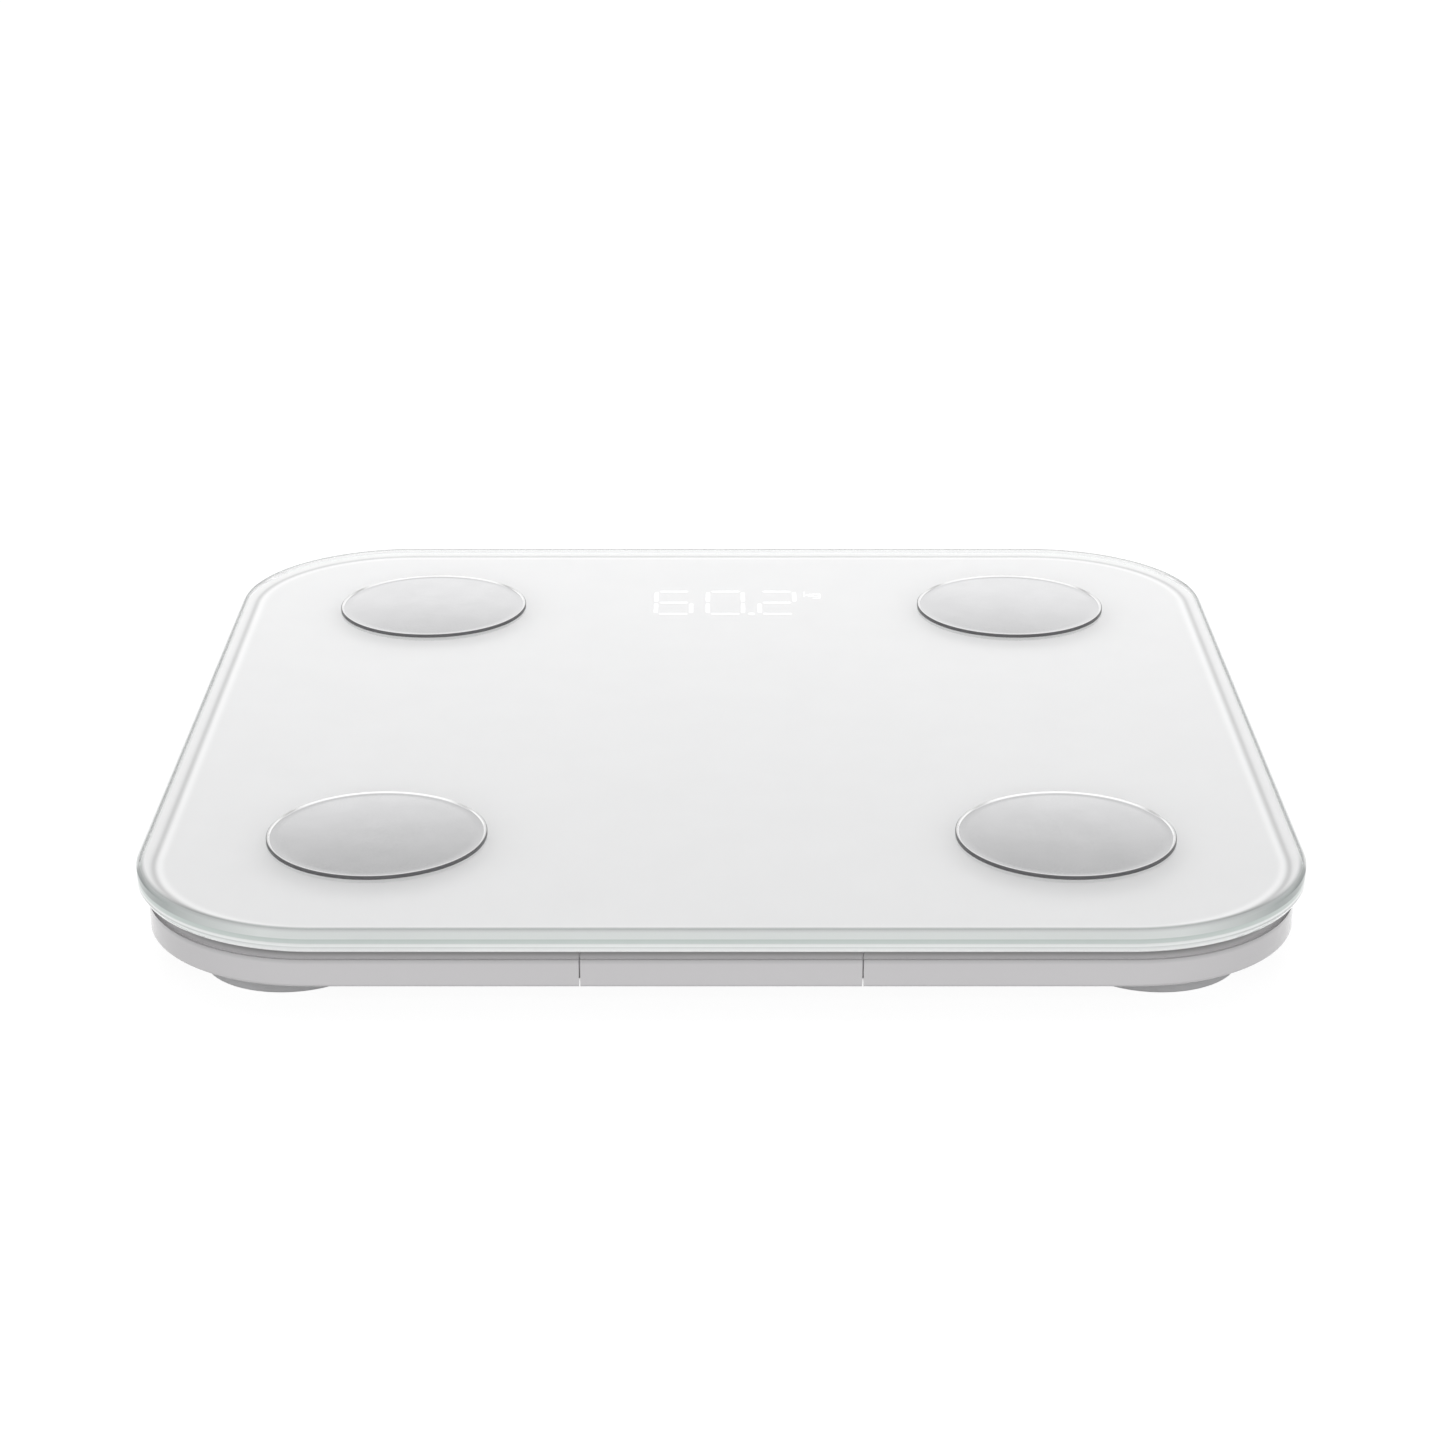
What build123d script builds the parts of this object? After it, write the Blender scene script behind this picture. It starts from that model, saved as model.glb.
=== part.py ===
from build123d import *
from math import radians, tan
import os

os.makedirs("parts", exist_ok=True)

# Sizes are in millimetres. The floor is Z = 0, +Z is up, and the user stands at -Y.

# Glass platform
plate_side = 300.0
plate_corner = 50.0
glass_thickness = 6.0
glass_edge_round = 1.2
stand_height = 25.0

# White backing under the glass and the adhesive bead below it
backing_thickness = 0.3
backing_inset = 1.0
bead_thickness = 0.5
bead_width = 1.1

# Electrodes, each with a stud through the glass, a ring terminal and a nut
electrode_diameter = 57.3
electrode_thickness = 1.0
electrode_chamfer = 0.35
electrode_inset_x = 60.5
electrode_inset_y = 59.0
stud_diameter = 3.0
stud_clearance = 0.5
stud_end = 1.0
terminal_diameter = 6.4
terminal_thickness = 0.5
terminal_tail = 4.4
barrel_length = 4.0
barrel_width = 2.4
barrel_height = 1.4
nut_flats = 5.5
nut_height = 2.0
thread_clearance = 0.05

# Base tray
base_inset = 3.0
base_corner = 45.0
base_wall = 3.2
skirt_drop = 16.6
skirt_round = 0.8
edge_band = 0.01
shoulder_drop = 3.4
shoulder_depth = 0.8
belly_height = 5.0
belly_run = 12.0
floor_thickness = 2.0
rib_place = 60.0
rib_thickness = 1.6
rib_height = 5.0

# Feet
foot_inset_x = 39.5
foot_inset_y = 38.8
pad_diameter = 44.0
pad_thickness = 2.4
pad_edge_round = 0.5
plug_diameter = 36.0
plug_depth = 0.8
plug_clearance = 0.1
cup_diameter = 43.4
cup_thickness = 1.6
hub_diameter = 21.6
hub_clearance = 0.4
lip_overhang = 1.0
lip_gap = 0.2
lip_height = 1.2
button_diameter = 8.0

# Load cells, their seats in the tray, and the retainers that the glass bears on
cell_side = 34.0
cell_corner = 2.0
cell_thickness = 2.0
cell_clearance = 0.3
tongue_width = 14.0
tongue_length = 20.0
slot_width = 2.0
seat_height = 3.0
seat_width = 4.0
seat_rim = 1.2
seat_rim_height = 1.4
gauge_length = 6.0
gauge_width = 3.6
gauge_thickness = 0.4
gauge_setback = 5.0
retainer_side = 38.0
retainer_corner = 8.0
retainer_opening = 24.0
ear_place = 24.0
ear_diameter = 8.0
ear_thickness = 2.5
notch_width = 3.0
notch_height = 2.4

# Screws, all of one size
screw_diameter = 2.5
screw_head_diameter = 4.4
screw_head_height = 1.4
screw_bite = 4.0
board_screw_bite = 2.0
screw_clearance = 0.15
boss_diameter = 7.0
pilot_spare = 0.4

# Battery door and its runners
door_width = 70.0
door_gap = 0.35
door_wall = 1.6
door_plate = 1.8
door_rear = 50.0
door_top_gap = 0.2
runner_ledge = 3.7
runner_ledge_thickness = 0.75
runner_lip_thickness = 1.25
runner_clearance = 0.15
tongue_thickness = 0.9
tongue_setback = 0.6
grip_count = 4
grip_pitch = 3.0
grip_width = 26.0
grip_groove = 1.2
grip_depth = 0.5

# Batteries, their cradle and contacts
battery_diameter = 10.5
battery_length = 44.5
battery_edge_round = 0.6
nub_diameter = 3.8
nub_length = 1.0
battery_pitch = 11.5
battery_setback = 28.5
battery_clearance = 0.25
contact_thickness = 0.3
contact_width = 9.0
contact_height = 8.0
bow_reach = 3.0
bow_width = 5.0
bow_gap = 0.05
cradle_wall = 1.5
cradle_roof = 0.8
cradle_side_gap = 0.5
cradle_floor_gap = 1.0
cradle_rib = 1.0
cradle_rib_height = 2.4
bay_wall = 3.0
bay_wall_gap = 1.0
cradle_overhang = 1.0
stake_diameter = 2.4
stake_clearance = 0.15
stake_inset = 6.0
tab_width = 2.0
tab_thickness = 0.5
tab_reach = 2.0
tab_clearance = 0.2

# Main board and what it carries
board_width = 78.0
board_thickness = 1.6
board_setback = 50.0
board_height = 3.2
board_screw_inset = 3.6
light_box_width = 62.0
light_box_depth = 31.0
diffuser_thickness = 0.3
digit_width = 12.2
digit_height = 23.7
digit_stroke = 2.3
digit_pitch = 16.2
digit_middle_x = 1.2
digit_gap = 0.5
point_diameter = 2.4
led_length = 1.6
led_width = 0.9
led_height = 0.6
socket_width = 8.0
socket_depth = 5.4
socket_height = 4.0
socket_edge = 0.2
socket_gap = 0.9
cell_socket_inner = 13.0
cell_socket_outer = 25.0
lead_socket_width = 4.6
lead_socket_depth = 7.0
lead_socket_spread = 6.0
lead_socket_gap = 0.5
chip_side = 7.0
chip_height = 1.2
chip_inset = 13.0
radio_width = 16.0
radio_depth = 11.0
radio_height = 2.2
radio_inset = 17.0

# Wires
cable_diameter = 1.8
lead_diameter = 1.2
battery_lead_diameter = 1.3
battery_lead_spread = 2.2
wire_gap = 0.05
lead_wall_gap = 0.8
cable_sweep = 16.0
bend_share = 0.45

# Heights worked out from the sizes above
glass_z = stand_height - glass_thickness
backing_z = glass_z - backing_thickness
rim_z = backing_z - bead_thickness
shoulder_z = glass_z - shoulder_drop
skirt_z = stand_height - skirt_drop
floor_z = belly_height + floor_thickness
rib_z = floor_z + rib_height
cell_z = floor_z + seat_height
cell_top = cell_z + cell_thickness
board_z = floor_z + board_height
board_top = board_z + board_thickness

# Places worked out from the edges of the plate, and the board round its light box and sockets
electrode_x = plate_side / 2 - electrode_inset_x
electrode_y = plate_side / 2 - electrode_inset_y
foot_x = plate_side / 2 - foot_inset_x
foot_y = plate_side / 2 - foot_inset_y
board_y = plate_side / 2 - board_setback
board_depth = light_box_depth + 2 * (socket_gap + socket_depth + socket_edge)

# Outlines of the tray
base_side = plate_side - 2 * base_inset
belly_side = base_side - 2 * belly_run
belly_corner = base_corner - belly_run
slope = (skirt_z - belly_height) / belly_run

corners = {
    "front_left": (-1, -1),
    "front_right": (1, -1),
    "rear_left": (-1, 1),
    "rear_right": (1, 1),
}


def save(piece, name):
    piece.part.label = name
    export_step(piece.part, f"parts/{name}.step")


def rounded_square(side, corner, height):
    with BuildSketch(Plane.XY.offset(height)) as outline:
        RectangleRounded(side, side, corner)
    return outline.sketch


def rectangles_at(places, height, width, depth):
    with BuildSketch(Plane.XY.offset(height)) as outlines:
        with Locations(*places):
            Rectangle(width, depth)
    return outlines.sketch


def circles_at(places, height, diameter):
    with BuildSketch(Plane.XY.offset(height)) as outlines:
        with Locations(*places):
            Circle(diameter / 2)
    return outlines.sketch


# A tray shape: a flat belly, a sloping underside and a straight wall up to a given height
def tray_shape(wall, floor, top):
    knee = belly_height + floor + slope * (belly_run - wall)
    side = base_side - 2 * wall
    corner = base_corner - wall
    with BuildPart() as shape:
        loft([
            rounded_square(belly_side, belly_corner, belly_height + floor),
            rounded_square(side, corner, knee),
        ], ruled=True)
        extrude(rounded_square(side, corner, knee), amount=top - knee)
    return shape.part


# Inner points of a route, each a share of the way across and along from its start to its end
def points_between(start, end, shares):
    (x, y), (end_x, end_y) = start, end
    return [(x + (end_x - x) * across, y + (end_y - y) * along) for across, along in shares]


# The radius of the bend at each inner point, from the shorter of the two runs that meet there
def bend_radii(points):
    runs = [Vector(b) - Vector(a) for a, b in zip(points, points[1:])]
    radii = []
    for before, after in zip(runs, runs[1:]):
        half_turn = radians(before.get_angle(after) / 2)
        radii.append(bend_share * min(before.length, after.length) / tan(half_turn))
    return radii


# A round wire on one level, along straight runs with a rounded bend at each inner point
def wire_along(places, height, diameter):
    points = [(x, y, height) for x, y in places]
    with BuildPart() as wire:
        with BuildLine() as route:
            FilletPolyline(*points, radius=bend_radii(points))
        with BuildSketch(Plane(route.line @ 0, z_dir=route.line % 0)):
            Circle(diameter / 2)
        sweep()
    return wire


# Pan-head screws that point down, with the seat of each head at the given height
def screws_at(places, seat, length):
    with BuildPart() as screws:
        extrude(circles_at(places, seat, screw_head_diameter), amount=screw_head_height)
        extrude(circles_at(places, seat, screw_diameter), amount=-length)
    return screws


# Glass platform, drilled for the electrode studs
electrode_places = [(sx * electrode_x, sy * electrode_y) for sx, sy in corners.values()]
stud_hole = stud_diameter + 2 * stud_clearance
with BuildPart() as glass_platform:
    extrude(rounded_square(plate_side, plate_corner, glass_z), amount=glass_thickness)
    rims = glass_platform.edges().group_by(Axis.Z)
    fillet(rims[0] + rims[-1], radius=glass_edge_round)
    stud_holes = circles_at(electrode_places, glass_z, stud_hole)
    extrude(stud_holes, amount=glass_thickness, mode=Mode.SUBTRACT)
save(glass_platform, "glass_platform")

# White backing
backing_edge = glass_edge_round + backing_inset
with BuildPart() as white_backing:
    extrude(
        rounded_square(plate_side - 2 * backing_edge, plate_corner - backing_edge, backing_z),
        amount=backing_thickness,
    )
    stud_holes = circles_at(electrode_places, backing_z, stud_hole)
    extrude(stud_holes, amount=backing_thickness, mode=Mode.SUBTRACT)
save(white_backing, "white_backing")

# Adhesive bead along the inner part of the tray rim
bead_inset = base_wall - bead_width - wire_gap
with BuildPart() as bonding_bead:
    extrude(
        rounded_square(base_side - 2 * bead_inset, base_corner - bead_inset, rim_z),
        amount=bead_thickness,
    )
    bead_inner = bead_inset + bead_width
    extrude(
        rounded_square(base_side - 2 * bead_inner, base_corner - bead_inner, rim_z),
        amount=bead_thickness,
        mode=Mode.SUBTRACT,
    )
save(bonding_bead, "bonding_bead")

# Electrodes with their studs
nut_z = backing_z - terminal_thickness - nut_height
stud_length = stand_height - nut_z + stud_end
for name, place in zip(corners, electrode_places):
    with BuildPart() as electrode:
        extrude(circles_at([place], stand_height, electrode_diameter), amount=electrode_thickness)
        chamfer(electrode.edges().group_by(Axis.Z)[-1], length=electrode_chamfer)
        extrude(circles_at([place], stand_height, stud_diameter), amount=-stud_length)
    save(electrode, f"electrode_{name}")

# Ring terminals under the backing, each with a barrel that holds its lead
tail_end = terminal_tail + barrel_length
thread_hole = stud_diameter + 2 * thread_clearance
tail_x = electrode_x - terminal_tail / 2
barrel_x = electrode_x - tail_end + barrel_length / 2
tail_places = [(sx * tail_x, sy * electrode_y) for sx, sy in corners.values()]
barrel_places = [(sx * barrel_x, sy * electrode_y) for sx, sy in corners.values()]
with BuildPart() as electrode_terminals:
    extrude(circles_at(electrode_places, backing_z, terminal_diameter), amount=-terminal_thickness)
    extrude(rectangles_at(tail_places, backing_z, terminal_tail, barrel_width), amount=-terminal_thickness)
    extrude(rectangles_at(barrel_places, backing_z, barrel_length, barrel_width), amount=-barrel_height)
    holes = circles_at(electrode_places, backing_z, thread_hole)
    extrude(holes, amount=-terminal_thickness, mode=Mode.SUBTRACT)
save(electrode_terminals, "electrode_terminals")

# Electrode nuts
with BuildPart() as electrode_nuts:
    with BuildSketch(Plane.XY.offset(nut_z)):
        with Locations(*electrode_places):
            RegularPolygon(nut_flats / 2, 6, major_radius=False)
            Circle(thread_hole / 2, mode=Mode.SUBTRACT)
    extrude(amount=nut_height)
save(electrode_nuts, "electrode_nuts")

# Places across the door, the runners and the battery bay
front_y = -base_side / 2
door_half = door_width / 2
runner_half = door_half - runner_ledge
door_rear_y = front_y + door_rear
runner_front_y = -belly_side / 2
groove_z = belly_height + runner_ledge_thickness
tongue_z = groove_z + runner_clearance
door_plate_z = belly_height + door_plate
lip_z = max(tongue_z + tongue_thickness, door_plate_z) + runner_clearance
runner_top = lip_z + runner_lip_thickness
bay_wall_x = door_half + bay_wall_gap
bay_outer_x = bay_wall_x + bay_wall
battery_z = door_plate_z + battery_clearance + battery_diameter / 2
roof_z = battery_z + battery_diameter / 2 + battery_clearance
opening_rear_y = door_rear_y + door_gap
bay_rear_y = opening_rear_y + bay_wall
bulkhead_z = belly_height + floor_thickness + slope * belly_run
board_places = [
    (sx * (board_width / 2 - board_screw_inset), board_y + sy * (board_depth / 2 - board_screw_inset))
    for sx, sy in corners.values()
]
stake_places = [
    (sx * (bay_wall_x + bay_wall / 2), bay_rear_y - stake_inset - step)
    for sx in (-1, 1)
    for step in (0, 2 * battery_pitch)
]
foot_places = [(sx * foot_x, sy * foot_y) for sx, sy in corners.values()]
retainer_places = [(x + ear * ear_place, y) for x, y in foot_places for ear in (-1, 1)]
pilot_hole = screw_diameter + 2 * thread_clearance
pilot_depth = screw_bite + pilot_spare
board_pilot_depth = board_screw_bite + pilot_spare
seat_side = cell_side + 2 * cell_clearance + 2 * seat_rim
hub_hole = hub_diameter + 2 * hub_clearance

# The outside of the tray, with a soft lower edge and a shoulder set back under the glass
with BuildPart() as tray_outside:
    add(tray_shape(0, 0, shoulder_z))
    skirt_edges = tray_outside.edges().filter_by(lambda edge: abs(edge.center().Z - skirt_z) < edge_band)
    fillet(skirt_edges, radius=skirt_round)
    extrude(
        rounded_square(base_side - 2 * shoulder_depth, base_corner - shoulder_depth, shoulder_z),
        amount=rim_z - shoulder_z,
    )

# The hollow of the tray, less everything that stands up from its floor
bay_depth = bay_rear_y - front_y
bay_y = (bay_rear_y + front_y) / 2
runner_width = bay_outer_x - runner_half
with BuildPart() as tray_hollow:
    add(tray_shape(base_wall, floor_thickness, rim_z))
    with BuildSketch():
        with Locations((-rib_place, 0), (rib_place, 0)):
            Rectangle(rib_thickness, base_side)
        with Locations((0, -rib_place), (0, rib_place)):
            Rectangle(base_side, rib_thickness)
    extrude(amount=rib_z, mode=Mode.SUBTRACT)
    seats = rectangles_at(foot_places, 0, seat_side, seat_side)
    extrude(seats, amount=cell_z + seat_rim_height, mode=Mode.SUBTRACT)
    extrude(circles_at(retainer_places, 0, boss_diameter), amount=cell_top, mode=Mode.SUBTRACT)
    extrude(circles_at(board_places, 0, boss_diameter), amount=board_z, mode=Mode.SUBTRACT)
    wall_places = [(side * (bay_wall_x + bay_wall / 2), bay_y) for side in (-1, 1)]
    extrude(rectangles_at(wall_places, 0, bay_wall, bay_depth), amount=roof_z, mode=Mode.SUBTRACT)
    with BuildSketch():
        with Locations(*[(side * (runner_half + runner_width / 2), bay_y) for side in (-1, 1)]):
            Rectangle(runner_width, bay_depth)
        with Locations((0, bay_rear_y - bay_wall / 2)):
            Rectangle(2 * bay_outer_x, bay_wall)
    extrude(amount=runner_top, mode=Mode.SUBTRACT)

# Base tray
pocket_side = cell_side + 2 * cell_clearance
well_side = cell_side - 2 * seat_width
wall_cut = door_wall + door_gap
slope_depth = runner_front_y - front_y
belly_depth = opening_rear_y - front_y
belly_y = (opening_rear_y + front_y) / 2
with BuildPart() as base_tray:
    add(tray_outside.part)
    add(tray_hollow.part, mode=Mode.SUBTRACT)
    # Seats for the load cells, with an opening for the hub of each foot
    pockets = rectangles_at(foot_places, cell_z, pocket_side, pocket_side)
    extrude(pockets, amount=cell_thickness, mode=Mode.SUBTRACT)
    wells = rectangles_at(foot_places, floor_z, well_side, well_side)
    extrude(wells, amount=seat_height, mode=Mode.SUBTRACT)
    extrude(circles_at(foot_places, 0, hub_hole), amount=cell_z, mode=Mode.SUBTRACT)
    # Pilot holes for the screws
    extrude(circles_at(retainer_places, cell_top, pilot_hole), amount=-pilot_depth, mode=Mode.SUBTRACT)
    extrude(circles_at(board_places, board_z, pilot_hole), amount=-board_pilot_depth, mode=Mode.SUBTRACT)
    # The door opening: the front of the wall, the slope under it, then the belly between the runners
    extrude(rectangles_at([(0, front_y)], 0, door_width, 2 * wall_cut), amount=rim_z, mode=Mode.SUBTRACT)
    with BuildSketch():
        with Locations((0, front_y)):
            Rectangle(door_width, 2 * slope_depth)
        with Locations((0, belly_y)):
            Rectangle(2 * runner_half, belly_depth)
    extrude(amount=bulkhead_z, mode=Mode.SUBTRACT)
    groove = rectangles_at([(0, belly_y)], groove_z, door_width, belly_depth)
    extrude(groove, amount=lip_z - groove_z, mode=Mode.SUBTRACT)
    # Stakes that hold the battery cradle down on the bay walls
    extrude(circles_at(stake_places, roof_z, stake_diameter), amount=cradle_roof)
save(base_tray, "base_tray")

# Battery door: a piece of the tray's own shape, with tongues that run in the grooves
with BuildPart() as battery_door:
    add(tray_outside.part)
    add(tray_shape(door_wall, door_plate, rim_z), mode=Mode.SUBTRACT)
    wide = door_width - 2 * door_gap
    narrow = 2 * (runner_half - door_gap)
    wide_depth = runner_front_y - door_gap - front_y
    with BuildSketch() as door_outline:
        with Locations((0, front_y + wide_depth / 2)):
            Rectangle(wide, wide_depth)
        with Locations((0, (door_rear_y + front_y) / 2)):
            Rectangle(narrow, door_rear)
    extrude(amount=rim_z - door_top_gap, mode=Mode.INTERSECT)
    tongue_depth = door_rear_y - runner_front_y - tongue_setback
    tongue_y = door_rear_y - tongue_depth / 2
    extrude(rectangles_at([(0, tongue_y)], tongue_z, wide, tongue_depth), amount=tongue_thickness)
    grip_y = (door_rear_y + runner_front_y) / 2
    grip_places = [(0, grip_y + (i - (grip_count - 1) / 2) * grip_pitch) for i in range(grip_count)]
    grooves = rectangles_at(grip_places, belly_height, grip_width, grip_groove)
    extrude(grooves, amount=grip_depth, mode=Mode.SUBTRACT)
save(battery_door, "battery_door")

# Foot cups with a hub through the tray, and rubber pads under them
hub_top = floor_z + lip_gap + lip_height
for name, place in zip(corners, foot_places):
    with BuildPart() as foot_cup:
        extrude(circles_at([place], pad_thickness, cup_diameter), amount=cup_thickness)
        extrude(circles_at([place], pad_thickness, plug_diameter), amount=-plug_depth)
        extrude(circles_at([place], pad_thickness, hub_diameter), amount=hub_top - pad_thickness)
        extrude(circles_at([place], hub_top, hub_diameter + 2 * lip_overhang), amount=-lip_height)
        extrude(circles_at([place], pad_thickness, button_diameter), amount=cell_z - pad_thickness)
    save(foot_cup, f"foot_cup_{name}")
    with BuildPart() as foot_pad:
        extrude(circles_at([place], 0, pad_diameter), amount=pad_thickness)
        fillet(foot_pad.edges().group_by(Axis.Z)[0], radius=pad_edge_round)
        plug_socket = circles_at([place], pad_thickness, plug_diameter + 2 * plug_clearance)
        extrude(plug_socket, amount=-plug_depth, mode=Mode.SUBTRACT)
    save(foot_pad, f"foot_pad_{name}")

# Load cells: a square plate with a tongue, rooted on the side nearest the middle of the scale
window_width = tongue_width + 2 * slot_width
window_length = tongue_length + slot_width
for name, (sx, sy) in corners.items():
    x, y = sx * foot_x, sy * foot_y
    with BuildPart() as load_cell:
        with BuildSketch(Plane((x, y, cell_z))):
            RectangleRounded(cell_side, cell_side, cell_corner)
            Rectangle(window_width, window_length, mode=Mode.SUBTRACT)
            with Locations((0, -sy * slot_width / 2)):
                Rectangle(tongue_width, tongue_length)
        extrude(amount=cell_thickness)
    save(load_cell, f"load_cell_{name}")

# Strain gauges, two on the root of each tongue
gauge_places = [
    (sx * foot_x + side * tongue_width / 4, sy * (foot_y - window_length / 2 + gauge_setback))
    for sx, sy in corners.values()
    for side in (-1, 1)
]
with BuildPart() as strain_gauges:
    extrude(rectangles_at(gauge_places, cell_top, gauge_width, gauge_length), amount=gauge_thickness)
save(strain_gauges, "strain_gauges")

# Retainers, which clamp the load cells and carry the glass
notch_depth = (retainer_side - retainer_opening) / 2
arm = ear_place - retainer_opening / 2
ear_hole = screw_diameter + 2 * screw_clearance
for name, (sx, sy), (x, y) in zip(corners, corners.values(), foot_places):
    with BuildPart() as retainer:
        with BuildSketch(Plane((x, y, cell_top))):
            with Locations((-ear_place, 0), (ear_place, 0)):
                Circle(ear_diameter / 2)
            with Locations((-ear_place + arm / 2, 0), (ear_place - arm / 2, 0)):
                Rectangle(arm, ear_diameter)
            with Locations((-ear_place, 0), (ear_place, 0)):
                Circle(ear_hole / 2, mode=Mode.SUBTRACT)
        extrude(amount=ear_thickness)
        with BuildSketch(Plane((x, y, cell_top))):
            RectangleRounded(retainer_side, retainer_side, retainer_corner)
            Rectangle(retainer_opening, retainer_opening, mode=Mode.SUBTRACT)
        extrude(amount=backing_z - cell_top)
        notch_y = y - sy * (retainer_opening + notch_depth) / 2
        notch = rectangles_at([(x, notch_y)], cell_top, notch_width, notch_depth)
        extrude(notch, amount=notch_height, mode=Mode.SUBTRACT)
    save(retainer, f"load_cell_retainer_{name}")
save(screws_at(retainer_places, cell_top + ear_thickness, ear_thickness + screw_bite), "retainer_screws")

# Main board on its bosses
with BuildPart() as main_board:
    extrude(rectangles_at([(0, board_y)], board_z, board_width, board_depth), amount=board_thickness)
    extrude(circles_at(board_places, board_z, ear_hole), amount=board_thickness, mode=Mode.SUBTRACT)
save(main_board, "main_board")
save(screws_at(board_places, board_top, board_thickness + board_screw_bite), "board_screws")

# Places, lengths and turns of the bars of the three digits, and the point before the last one
digit_side = (digit_width - digit_stroke) / 2
digit_half = (digit_height - digit_stroke) / 2
bars = []
for digit in (-1, 0, 1):
    middle = digit_middle_x + digit * digit_pitch
    for level in (-1, 0, 1):
        bars.append((middle, board_y + level * digit_half, 2 * (digit_side - digit_gap), 0))
    for side in (-1, 1):
        for level in (-1, 1):
            bar_y = board_y + level * digit_half / 2
            bars.append((middle + side * digit_side, bar_y, digit_half - 2 * digit_gap, 90))
point = (digit_middle_x + digit_pitch / 2, board_y - digit_half)

# Display light box, with a pointed channel for each bar, and the diffuser over it
diffuser_z = backing_z - diffuser_thickness
with BuildPart() as display_light_box:
    with BuildSketch(Plane.XY.offset(board_top)):
        with Locations((0, board_y)):
            Rectangle(light_box_width, light_box_depth)
        for x, y, length, turn in bars:
            tip, half = length / 2, digit_stroke / 2
            right_end = [(tip - half, -half), (tip, 0), (tip - half, half)]
            left_end = [(half - tip, half), (-tip, 0), (half - tip, -half)]
            with Locations(Location((x, y), turn)):
                Polygon(*right_end, *left_end, align=None, mode=Mode.SUBTRACT)
        with Locations(point):
            Circle(point_diameter / 2, mode=Mode.SUBTRACT)
    extrude(amount=diffuser_z - board_top)
save(display_light_box, "display_light_box")
with BuildPart() as display_diffuser:
    sheet = rectangles_at([(0, board_y)], diffuser_z, light_box_width, light_box_depth)
    extrude(sheet, amount=diffuser_thickness)
save(display_diffuser, "display_diffuser")

# Light emitters, one in each channel
with BuildPart() as display_leds:
    with BuildSketch(Plane.XY.offset(board_top)):
        with Locations(*[Location((x, y), turn) for x, y, length, turn in bars]):
            Rectangle(led_length, led_width)
        with Locations(point):
            Rectangle(led_length, led_width)
    extrude(amount=led_height)
save(display_leds, "display_leds")

# Sockets along the front edge of the board, and tall ones at its sides for the electrode leads
board_front_y = board_y - board_depth / 2
socket_y = board_front_y + socket_edge + socket_depth / 2
socket_xs = [-cell_socket_outer, -cell_socket_inner, 0, cell_socket_inner, cell_socket_outer]
lead_socket_x = light_box_width / 2 + lead_socket_gap + lead_socket_width / 2
lead_socket_places = [
    (sx * lead_socket_x, board_y + sy * lead_socket_spread) for sx, sy in corners.values()
]
with BuildPart() as board_sockets:
    sockets = rectangles_at([(x, socket_y) for x in socket_xs], board_top, socket_width, socket_depth)
    extrude(sockets, amount=socket_height)
    lead_sockets = rectangles_at(lead_socket_places, board_top, lead_socket_width, lead_socket_depth)
    extrude(lead_sockets, amount=diffuser_z - board_top)
save(board_sockets, "board_sockets")

# Controller chip and radio module under the board, in from the sides of the light box
chip_x = light_box_width / 2 - chip_inset
radio_x = radio_inset - light_box_width / 2
with BuildPart() as controller_chip:
    extrude(rectangles_at([(chip_x, board_y)], board_z, chip_side, chip_side), amount=-chip_height)
save(controller_chip, "controller_chip")
with BuildPart() as radio_module:
    extrude(rectangles_at([(radio_x, board_y)], board_z, radio_width, radio_depth), amount=-radio_height)
save(radio_module, "radio_module")

# Batteries, laid across the scale with their ends alternating
battery_ys = [front_y + battery_setback + step * battery_pitch for step in (-1, 0, 1)]
bay_half = (battery_length + bow_reach + 2 * contact_thickness) / 2
for name, y, plus in zip(("front", "middle", "rear"), battery_ys, (1, -1, 1)):
    tip_x = plus * (bay_half - contact_thickness)
    with BuildPart() as battery:
        with BuildSketch(Plane((tip_x - plus * nub_length, y, battery_z), z_dir=(-plus, 0, 0))):
            Circle(battery_diameter / 2)
        extrude(amount=battery_length - nub_length)
        fillet(battery.edges().filter_by(GeomType.CIRCLE), radius=battery_edge_round)
        with BuildSketch(Plane((tip_x, y, battery_z), z_dir=(-plus, 0, 0))):
            Circle(nub_diameter / 2)
        extrude(amount=nub_length)
    save(battery, f"battery_{name}")

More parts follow.
